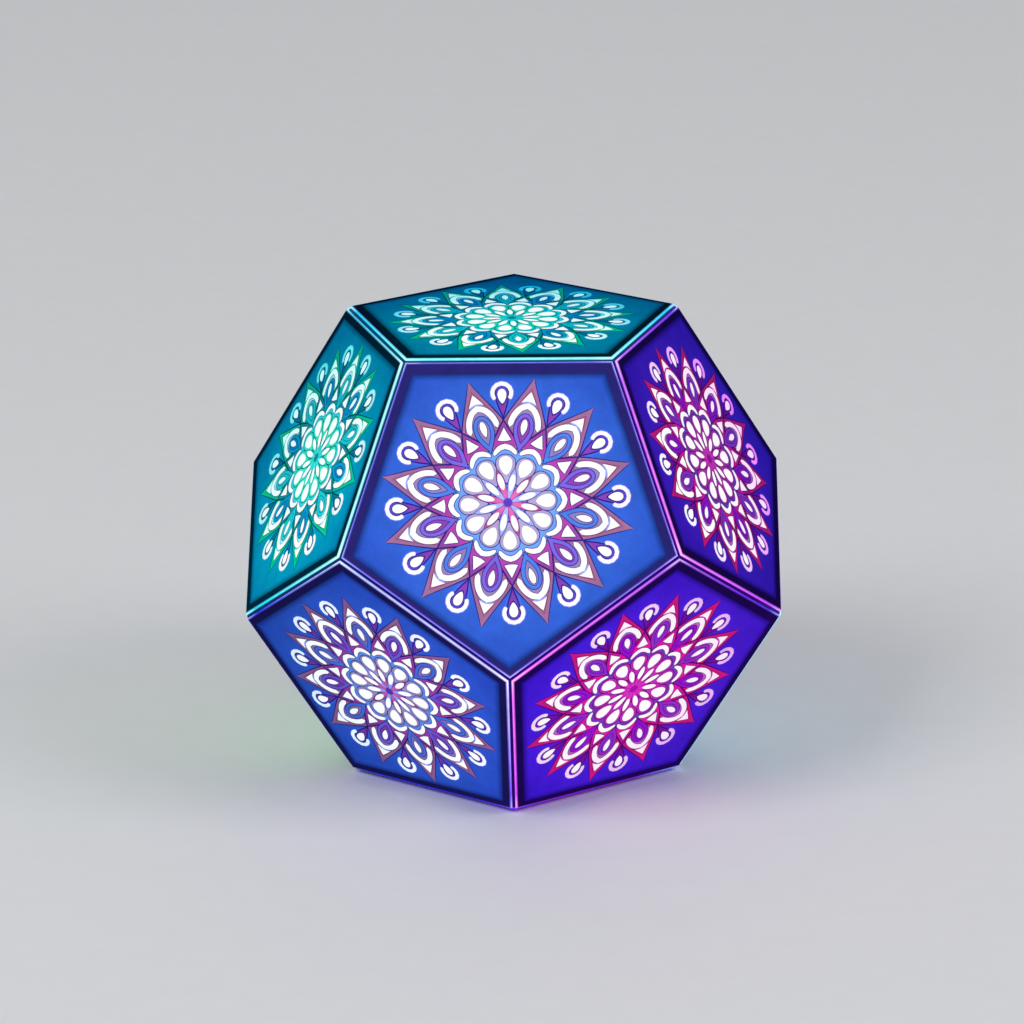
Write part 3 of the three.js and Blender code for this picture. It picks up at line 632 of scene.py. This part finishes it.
def face_print(name, ornament, inks):
    """The printed film of a face: border, field and the twelve turned copies of each shape, ink on ink."""
    rosette_turn, rosette_centre, border_centre, blue = PRINTS[name]
    point = face_point(name)
    outer = (PLATE_INRADIUS - PLATE_CHAMFER - PRINT_MARGIN) / EDGE
    middle = (FACE_INRADIUS - BORDER_WIDTH) / EDGE
    blur = BORDER_BLUR / EDGE
    low = (PLATE_TOP + FILM_GAP) / EDGE
    film = low + FILM_THICK / EDGE
    blur_rings = middle - blur * np.arange(BLUR_RINGS - 1, -1, -1) / BLUR_RINGS
    field_rings = np.concatenate([np.linspace(FIELD_HOLE, middle - blur, FIELD_RINGS), blur_rings])
    field = pentagon_ring(field_rings, point) + border_centre
    border = np.stack([field[-1], pentagon_ring([outer], point)[0]])
    solids = [("field", *ring_solid(field, low, film)), ("border", *ring_solid(border, low, film))]
    for ink, layer, axis, shape, petals in ornament:
        high = film + layer * INK_STEP / EDGE
        for k in range(SECTORS):
            if petals is None or (k % 2 == blue) == (petals == BLUE):
                angle = np.radians(rosette_turn) + (k + axis) * SECTOR
                strip = tuple(turned(side, angle) + rosette_centre for side in shape)
                solids.append((ink, *strip_solid(strip, low, high)))

    order = list(INKS)
    starts = np.cumsum([0] + [len(v) for _, v, _ in solids])
    vertices = np.concatenate([v for _, v, _ in solids])
    quads = np.concatenate([q + s for (_, _, q), s in zip(solids, starts)])
    slots = np.concatenate([np.full(len(q), order.index(ink)) for ink, _, q in solids])
    light = np.concatenate([face_light(name, v[:, :2], ink) for ink, v, _ in solids])
    rotation, centre = face_place(name)
    mesh = bpy.data.meshes.new(f"print_{name}")
    mesh.from_pydata((vertices * EDGE @ rotation.T + centre).tolist(), [], quads.tolist())
    for ink in order:
        mesh.materials.append(inks[ink])
    mesh.polygons.foreach_set("material_index", slots.astype(np.int32))
    attribute = mesh.attributes.new("light", "FLOAT_VECTOR", "POINT")
    attribute.data.foreach_set("vector", light.astype(np.float32).ravel())
    mesh.update()
    piece = bpy.data.objects.new(f"print_{name}", mesh)
    bpy.context.scene.collection.objects.link(piece)
    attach(piece, "root")


# Nodes

COLOUR, VECTOR, NUMBER = "NodeSocketColor", "NodeSocketVector", "NodeSocketFloat"


def feed(tree, sockets, values):
    """Gives sockets their values by name or number: a socket is linked, anything else is set."""
    for key, value in values.items():
        if isinstance(value, bpy.types.NodeSocket):
            tree.links.new(value, sockets[key])
        else:
            sockets[key].default_value = value


def add(tree, kind, values=None, **settings):
    """Adds a node with its settings and its inputs' values, and gives its outputs."""
    node = tree.nodes.new(kind)
    for key, value in settings.items():
        setattr(node, key, value)
    feed(tree, node.inputs, values or {})
    return node.outputs


def new_group(name, inputs, outputs):
    """Empty shader node group with named sockets, what it is given and what it puts out."""
    tree = bpy.data.node_groups.new(name, "ShaderNodeTree")
    for direction, sockets in (("INPUT", inputs), ("OUTPUT", outputs)):
        for label, kind in sockets.items():
            tree.interface.new_socket(label, in_out=direction, socket_type=kind)
    return tree, tree.nodes.new("NodeGroupInput").outputs, tree.nodes.new("NodeGroupOutput").inputs


def new_material(name):
    """Material with a Principled shader, its tree and that shader's inputs."""
    material = bpy.data.materials.new(name)
    material.use_nodes = True
    tree = material.node_tree
    return material, tree, tree.nodes["Principled BSDF"].inputs


def math_node(tree, operation, *values, clamp=False):
    """Result of a Math node on sockets or numbers."""
    return add(tree, "ShaderNodeMath", dict(enumerate(values)), operation=operation, use_clamp=clamp)[0]


def vector_math(tree, operation, *values):
    """Result of a Vector Math node on sockets or vectors. A dot product and a length are numbers."""
    outputs = add(tree, "ShaderNodeVectorMath", dict(enumerate(values)), operation=operation)
    return outputs["Value" if operation in ("DOT_PRODUCT", "LENGTH") else "Vector"]


def scaled(tree, vector, share):
    """Vector times a number."""
    return add(tree, "ShaderNodeVectorMath", {0: vector, "Scale": share}, operation="SCALE")[0]


def noise(tree, place, scale, detail, roughness=0.5):
    """Noise about 0.5, of so many waves a metre."""
    values = {"Vector": place, "Scale": scale, "Detail": detail, "Roughness": roughness}
    return add(tree, "ShaderNodeTexNoise", values)[0]


def centred(tree, coarse, share, fine):
    """Coarse noise times a share, plus fine noise, about 0."""
    both = math_node(tree, "MULTIPLY_ADD", coarse, share, fine)
    return math_node(tree, "SUBTRACT", both, (share + 1) / 2)


def ramp(tree, value, low, high, start=0.0, end=1.0, curve="LINEAR"):
    """Number that goes from start to end while a value goes from low to high."""
    values = dict(enumerate((value, low, high, start, end)))
    return add(tree, "ShaderNodeMapRange", values, interpolation_type=curve)[0]


def backlit_group():
    """Light through a printed sheet: ink times light, clouded by the opal sheet and grained by the print. A
    share of that light is painted into the base colour as Skin.
    """
    tree, given, out = new_group(
        "backlit_print",
        {"Ink": COLOUR, "Light": VECTOR, "Cloud": NUMBER},
        {"Skin": COLOUR, "Glow": COLOUR, "Roughness": NUMBER},
    )
    place = add(tree, "ShaderNodeTexCoord")["Object"]
    cloud = noise(tree, place, scale=160.0, detail=3.0, roughness=0.6)
    grain = noise(tree, place, scale=2600.0, detail=1.0)
    gain = math_node(tree, "MULTIPLY_ADD", centred(tree, cloud, 1.6, grain), given["Cloud"], 1.0)
    colour = scaled(tree, vector_math(tree, "MULTIPLY", given["Ink"], given["Light"]), gain)
    # Skin: the backlit colour painted into the base colour as painted light; Glow: the light from behind
    feed(tree, out, {"Skin": scaled(tree, colour, INK_BACKLIGHT_IN_BASE), "Glow": scaled(tree, colour, INK_GLOW)})
    feed(tree, out, {"Roughness": math_node(tree, "MULTIPLY_ADD", cloud, 0.12, 0.40)})
    return tree


def ink_material(name, group):
    """One ink of the print, lit from behind by the piece's own light attribute."""
    material, tree, shader = new_material(f"ink_{name}")
    light = add(tree, "ShaderNodeAttribute", attribute_name="light")["Vector"]
    cloud = WINDOW_CLOUD if name == "window" else INK_CLOUD
    values = {"Ink": opaque(INKS[name][0]), "Light": light, "Cloud": cloud}
    lit = add(tree, "ShaderNodeGroup", values, node_tree=group)
    # the base colour holds a painted share of the light from behind
    feed(tree, shader, {"Base Color": lit["Skin"], "Roughness": lit["Roughness"], "Specular IOR Level": 0.0})
    feed(tree, shader, {"Emission Color": lit["Glow"], "Emission Strength": 1.0})
    return material


def rim_plane(name):
    """Rim light as a linear function of the place on a face, by least squares: at the centre, and what a step
    of one edge along x and along y adds."""
    angle = np.radians(list(RIMS[name]))
    reach = PLATE_INRADIUS / EDGE
    places = np.stack([np.ones(len(angle)), np.cos(angle) * reach, np.sin(angle) * reach], 1)
    return np.linalg.lstsq(places, linear(list(RIMS[name].values())), rcond=None)[0]


def lit_rim_group():
    """Light in a clear plate's rim: a linear function of the place on the face, strongest near the top of the
    wall and paler at the corners, over a deeper glow of its cube. A share of that deep glow is painted into
    the plate's base colour. Right, Up and Out are the face's own directions."""
    vectors = ("Centre", "Right", "Up", "Out", "Middle", "Step Right", "Step Up")
    tree, given, out = new_group("lit_rim", dict.fromkeys(vectors, VECTOR), {"Skin": COLOUR, "Glow": COLOUR})
    place = add(tree, "ShaderNodeTexCoord")["Object"]
    from_centre = vector_math(tree, "SUBTRACT", place, given["Centre"])
    rim = given["Middle"]
    for way in ("Right", "Up"):
        along = vector_math(tree, "DOT_PRODUCT", from_centre, given[way])
        rim = vector_math(tree, "ADD", scaled(tree, given[f"Step {way}"], along), rim)
    rim = vector_math(tree, "MAXIMUM", rim, (0, 0, 0))
    deep = vector_math(tree, "MULTIPLY", vector_math(tree, "MULTIPLY", rim, rim), rim)

    # Bell over the wall's height
    above = vector_math(tree, "DOT_PRODUCT", from_centre, given["Out"])
    height = math_node(tree, "MULTIPLY_ADD", above, 1 / PLATE_THICK, -SEAT_GAP / PLATE_THICK)
    off = math_node(tree, "DIVIDE", math_node(tree, "SUBTRACT", height, RIM_HEIGHT), RIM_REACH)
    bell = math_node(tree, "SUBTRACT", 1.0, math_node(tree, "MULTIPLY", off, off), clamp=True)
    bell = math_node(tree, "POWER", bell, RIM_CURVE)

    # Paler at the corners, where the light of two walls meets
    away = vector_math(tree, "LENGTH", from_centre)
    start, full = (FACE_INRADIUS * share for share in RIM_CORNER)
    white = scaled(tree, bell, ramp(tree, away, start, full, end=CORNER_WHITE, curve="SMOOTHSTEP"))

    glow = vector_math(tree, "ADD", scaled(tree, deep, DEEP_GLOW), scaled(tree, rim, bell))
    glow = vector_math(tree, "ADD", glow, white)
    level = math_node(tree, "MULTIPLY_ADD", noise(tree, place, scale=420.0, detail=2.0), 0.6, 0.70)
    # Skin: a painted share of the deep rim light in the clear plate's base colour
    feed(tree, out, {"Skin": scaled(tree, deep, DEEP_RIM_LIGHT_IN_BASE), "Glow": scaled(tree, glow, level)})
    return tree


def plate_material(name, group):
    """Clear plate of a face, lit through its rim."""
    material, tree, shader = new_material(f"plate_{name}")
    rotation, centre = face_place(name)
    middle, step_right, step_up = rim_plane(name)
    values = {"Centre": centre, "Right": rotation[:, 0], "Up": rotation[:, 1], "Out": rotation[:, 2]}
    values |= {"Middle": middle, "Step Right": step_right / EDGE, "Step Up": step_up / EDGE}
    lit = add(tree, "ShaderNodeGroup", values, node_tree=group)
    feed(tree, shader, {"Base Color": lit["Skin"], "Roughness": 0.12, "Specular IOR Level": 0.2})
    feed(tree, shader, {"Emission Color": lit["Glow"], "Emission Strength": 1.0})
    return material


def spill_group():
    """The rims' light on a moulded surface: the sum over the faces of a power of their rims' light, each
    within reach of its own face, as the direction from the lantern's middle says, and less on level
    surfaces."""
    tree, given, out = new_group(
        "rim_spill",
        {"Colour": COLOUR, "Roughness": NUMBER, "Power": NUMBER, "Share": NUMBER, "Level Share": NUMBER},
        {"Skin": COLOUR, "Glow": COLOUR, "Roughness": NUMBER, "Height": NUMBER},
    )
    coordinates = add(tree, "ShaderNodeTexCoord")
    place = coordinates["Object"]
    outward = vector_math(tree, "NORMALIZE", vector_math(tree, "SUBTRACT", place, (0, 0, CENTRE_HEIGHT)))
    light = (0, 0, 0)
    for face in PLACES:
        towards = vector_math(tree, "DOT_PRODUCT", outward, face_place(face)[0][:, 2])
        near = ramp(tree, towards, *SPILL_COSINES, curve="SMOOTHSTEP")
        rim = vector_math(tree, "POWER", np.maximum(rim_plane(face)[0], 0), given["Power"])
        light = vector_math(tree, "ADD", scaled(tree, rim, near), light)
    up = vector_math(tree, "DOT_PRODUCT", coordinates["Normal"], (0, 0, 1))
    steep = math_node(tree, "SUBTRACT", 1.0, math_node(tree, "ABSOLUTE", up))
    level = math_node(tree, "MULTIPLY", given["Share"], given["Level Share"])
    reach = ramp(tree, steep, 0.0, SPILL_STEEP, start=level, end=given["Share"])
    grain = noise(tree, place, scale=900.0, detail=3.0)
    gain = math_node(tree, "MULTIPLY_ADD", grain, 0.8, 0.6)
    glow = scaled(tree, light, math_node(tree, "MULTIPLY", gain, reach))
    rough = math_node(tree, "MULTIPLY_ADD", grain, 0.2, given["Roughness"])
    feed(tree, out, {"Skin": scaled(tree, given["Colour"], gain), "Glow": glow})
    feed(tree, out, {"Roughness": rough, "Height": grain})
    return tree


def spill_material(group, name, colour, roughness, power, share, level_share):
    """Black skeleton or dark base, with the rims' light on it."""
    material, tree, shader = new_material(name)
    values = {"Colour": opaque(colour), "Roughness": roughness, "Power": power}
    values |= {"Share": share, "Level Share": level_share}
    lit = add(tree, "ShaderNodeGroup", values, node_tree=group)
    bump = add(tree, "ShaderNodeBump", {"Height": lit["Height"], "Distance": 0.00003, "Strength": 0.4})
    feed(tree, shader, {"Base Color": lit["Skin"], "Roughness": lit["Roughness"], "Normal": bump["Normal"]})
    feed(tree, shader, {"Emission Color": lit["Glow"], "Emission Strength": 1.0, "Specular IOR Level": 0.1})
    return material


def finish_group():
    """Handled surface: cloudy colour, fine grain, and short scratches where a broad noise is high. Scratches
    are the zero lines of a stretched noise."""
    tree, given, out = new_group(
        "handled_finish",
        {"Colour": COLOUR, "Worn": COLOUR, "Roughness": NUMBER, "Grain": NUMBER, "Spread": NUMBER},
        {"Colour": COLOUR, "Roughness": NUMBER, "Height": NUMBER},
    )
    place = add(tree, "ShaderNodeTexCoord")["Object"]
    fine = noise(tree, place, given["Grain"], detail=4.0)
    broad = noise(tree, place, scale=90.0, detail=3.0)
    scratches = 0.0
    for turn in (0.4, 1.9):
        stretch = {"Vector": place, "Rotation": (turn, 0.7, turn * 2), "Scale": (60, 900, 900)}
        stretched = add(tree, "ShaderNodeMapping", stretch)[0]
        line = noise(tree, stretched, scale=1.0, detail=2.0)
        off = math_node(tree, "ABSOLUTE", math_node(tree, "SUBTRACT", line, 0.5))
        thin = ramp(tree, off, 0.0, 0.012, start=1.0, end=0.0)
        scratches = math_node(tree, "ADD", scratches, thin, clamp=True)
    worn = math_node(tree, "MULTIPLY", scratches, ramp(tree, broad, 0.48, 0.68))
    cloud = centred(tree, broad, 1.5, fine)
    gain = math_node(tree, "MULTIPLY_ADD", cloud, given["Spread"], 1.0)
    sound = scaled(tree, given["Colour"], gain)
    colour = add(tree, "ShaderNodeMix", {0: worn, 6: sound, 7: given["Worn"]}, data_type="RGBA")[2]
    rough = math_node(tree, "MULTIPLY_ADD", cloud, 0.12, given["Roughness"])
    rough = math_node(tree, "MULTIPLY_ADD", worn, 0.12, rough)
    height = math_node(tree, "MULTIPLY_ADD", worn, -0.8, fine)
    feed(tree, out, {"Colour": colour, "Roughness": rough, "Height": height})
    return tree


def simple_material(group, name, colour, worn, roughness, grain, depth, spread, metallic=0.0, glow=0.0):
    """Moulded, rolled or machined finish: its colour, sound and worn, and its grain's scale and depth."""
    material, tree, shader = new_material(name)
    values = {"Colour": opaque(colour), "Worn": opaque(worn)}
    values |= {"Roughness": roughness, "Grain": grain, "Spread": spread}
    finish = add(tree, "ShaderNodeGroup", values, node_tree=group)
    bump = add(tree, "ShaderNodeBump", {"Height": finish["Height"], "Distance": depth, "Strength": 0.4})
    feed(tree, shader, {"Base Color": finish["Colour"], "Roughness": finish["Roughness"]})
    feed(tree, shader, {"Normal": bump["Normal"], "Metallic": metallic})
    if glow:
        feed(tree, shader, {"Emission Color": finish["Colour"], "Emission Strength": glow})
    return material


def dress_frame():
    """Gives every CAD node its finish by its slot in the record; the printed plates get one each."""
    handled, spill, rim = finish_group(), spill_group(), lit_rim_group()
    finishes = {slot: simple_material(handled, slot, *values) for slot, values in FINISHES.items()}
    finishes |= {slot: spill_material(spill, slot, *values) for slot, values in SPILLS.items()}
    for node, piece in frame["nodes"].items():
        if node.startswith(PLATE_NODE):
            material = plate_material(node.removeprefix(PLATE_NODE), rim)
        else:
            material = finishes[frame_slot(node)]
        piece.data.materials.clear()
        piece.data.materials.append(material)


def print_faces():
    """Prints every face in the same inks."""
    group = backlit_group()
    inks = {name: ink_material(name, group) for name in INKS}
    ornament = rosette()
    for name in PLACES:
        face_print(name, ornament, inks)


def camera():
    """Camera at the photograph's place: round the lantern by azimuth and elevation, with a slight roll."""
    azimuth, elevation, roll = np.radians([AZIMUTH, ELEVATION, ROLL])
    level = np.array([np.sin(azimuth), -np.cos(azimuth), 0])
    back = level * np.cos(elevation) + np.array([0, 0, np.sin(elevation)])
    right = np.array([np.cos(azimuth), np.sin(azimuth), 0])
    up = np.cross(back, right)
    aim = np.array([0, 0, CENTRE_HEIGHT]) + (AIM_RIGHT * right + AIM_UP * up) * EDGE
    rolled_right = right * np.cos(roll) + up * np.sin(roll)
    rolled_up = up * np.cos(roll) - right * np.sin(roll)
    lens = bpy.data.cameras.new("camera")
    lens.sensor_width = SENSOR_WIDTH
    lens.lens = FOCAL_LENGTH / IMAGE_SIZE * SENSOR_WIDTH
    lens.clip_start = 0.05
    lens.clip_end = 50
    holder = bpy.data.objects.new("camera", lens)
    turn = Matrix(np.column_stack([rolled_right, rolled_up, back]).tolist()).to_4x4()
    holder.matrix_world = Matrix.Translation(Vector(aim + back * DISTANCE * EDGE)) @ turn
    bpy.context.scene.collection.objects.link(holder)
    bpy.context.scene.camera = holder


def floor():
    """Pale floor that sweeps up behind the lantern in a quarter circle and on to a wall."""
    across = np.linspace(-FLOOR_REACH, FLOOR_REACH, 9)
    angle = np.linspace(0, np.pi / 2, 17)
    wall = SWEEP_START + SWEEP_RADIUS
    depth = np.concatenate([FLOOR_ROWS, SWEEP_START + SWEEP_RADIUS * np.sin(angle), [wall]])
    rise = SWEEP_RADIUS - SWEEP_RADIUS * np.cos(angle)
    height = np.concatenate([np.zeros(len(FLOOR_ROWS)), rise, [FLOOR_REACH]])
    x = np.tile(across, len(depth))
    vertices = np.column_stack([x, np.repeat(depth, len(across)), np.repeat(height, len(across))])
    steps = (np.arange(len(depth) - 1), np.arange(len(across) - 1))
    i, j = (k.ravel() for k in np.meshgrid(*steps, indexing="ij"))
    first = i * len(across) + j
    quads = np.stack([first, first + 1, first + len(across) + 1, first + len(across)], 1)
    mesh = bpy.data.meshes.new("floor")
    mesh.from_pydata(vertices.tolist(), [], quads.tolist())
    material, tree, shader = new_material("floor")
    place = add(tree, "ShaderNodeTexCoord")["Object"]
    shade = math_node(tree, "MULTIPLY_ADD", noise(tree, place, scale=90.0, detail=3.0), 0.03, FLOOR_TONE)
    tone = add(tree, "ShaderNodeCombineColor", {0: shade, 1: shade, 2: shade})
    feed(tree, shader, {"Base Color": tone[0], "Roughness": 0.7})
    mesh.materials.append(material)
    piece = bpy.data.objects.new("floor", mesh)
    bpy.context.scene.collection.objects.link(piece)


def lamps():
    """Soft world and two large lamps that look at the lantern."""
    world = bpy.data.worlds.new("studio")
    world.use_nodes = True
    tree = world.node_tree
    feed(tree, tree.nodes["Background"].inputs, {"Color": WORLD_COLOUR, "Strength": WORLD_STRENGTH})
    bpy.context.scene.world = world
    for name, (place, diameter, power) in LAMPS.items():
        lamp = bpy.data.lights.new(name, "AREA")
        lamp.shape = "DISK"
        lamp.size = diameter
        lamp.energy = power
        holder = bpy.data.objects.new(name, lamp)
        holder.location = place
        holder.rotation_euler = (Vector(LAMP_AIM) - Vector(place)).to_track_quat("-Z", "Y").to_euler()
        bpy.context.scene.collection.objects.link(holder)


bpy.context.scene.view_settings.view_transform = "Standard"
camera()
floor()
lamps()
dress_frame()
print_faces()
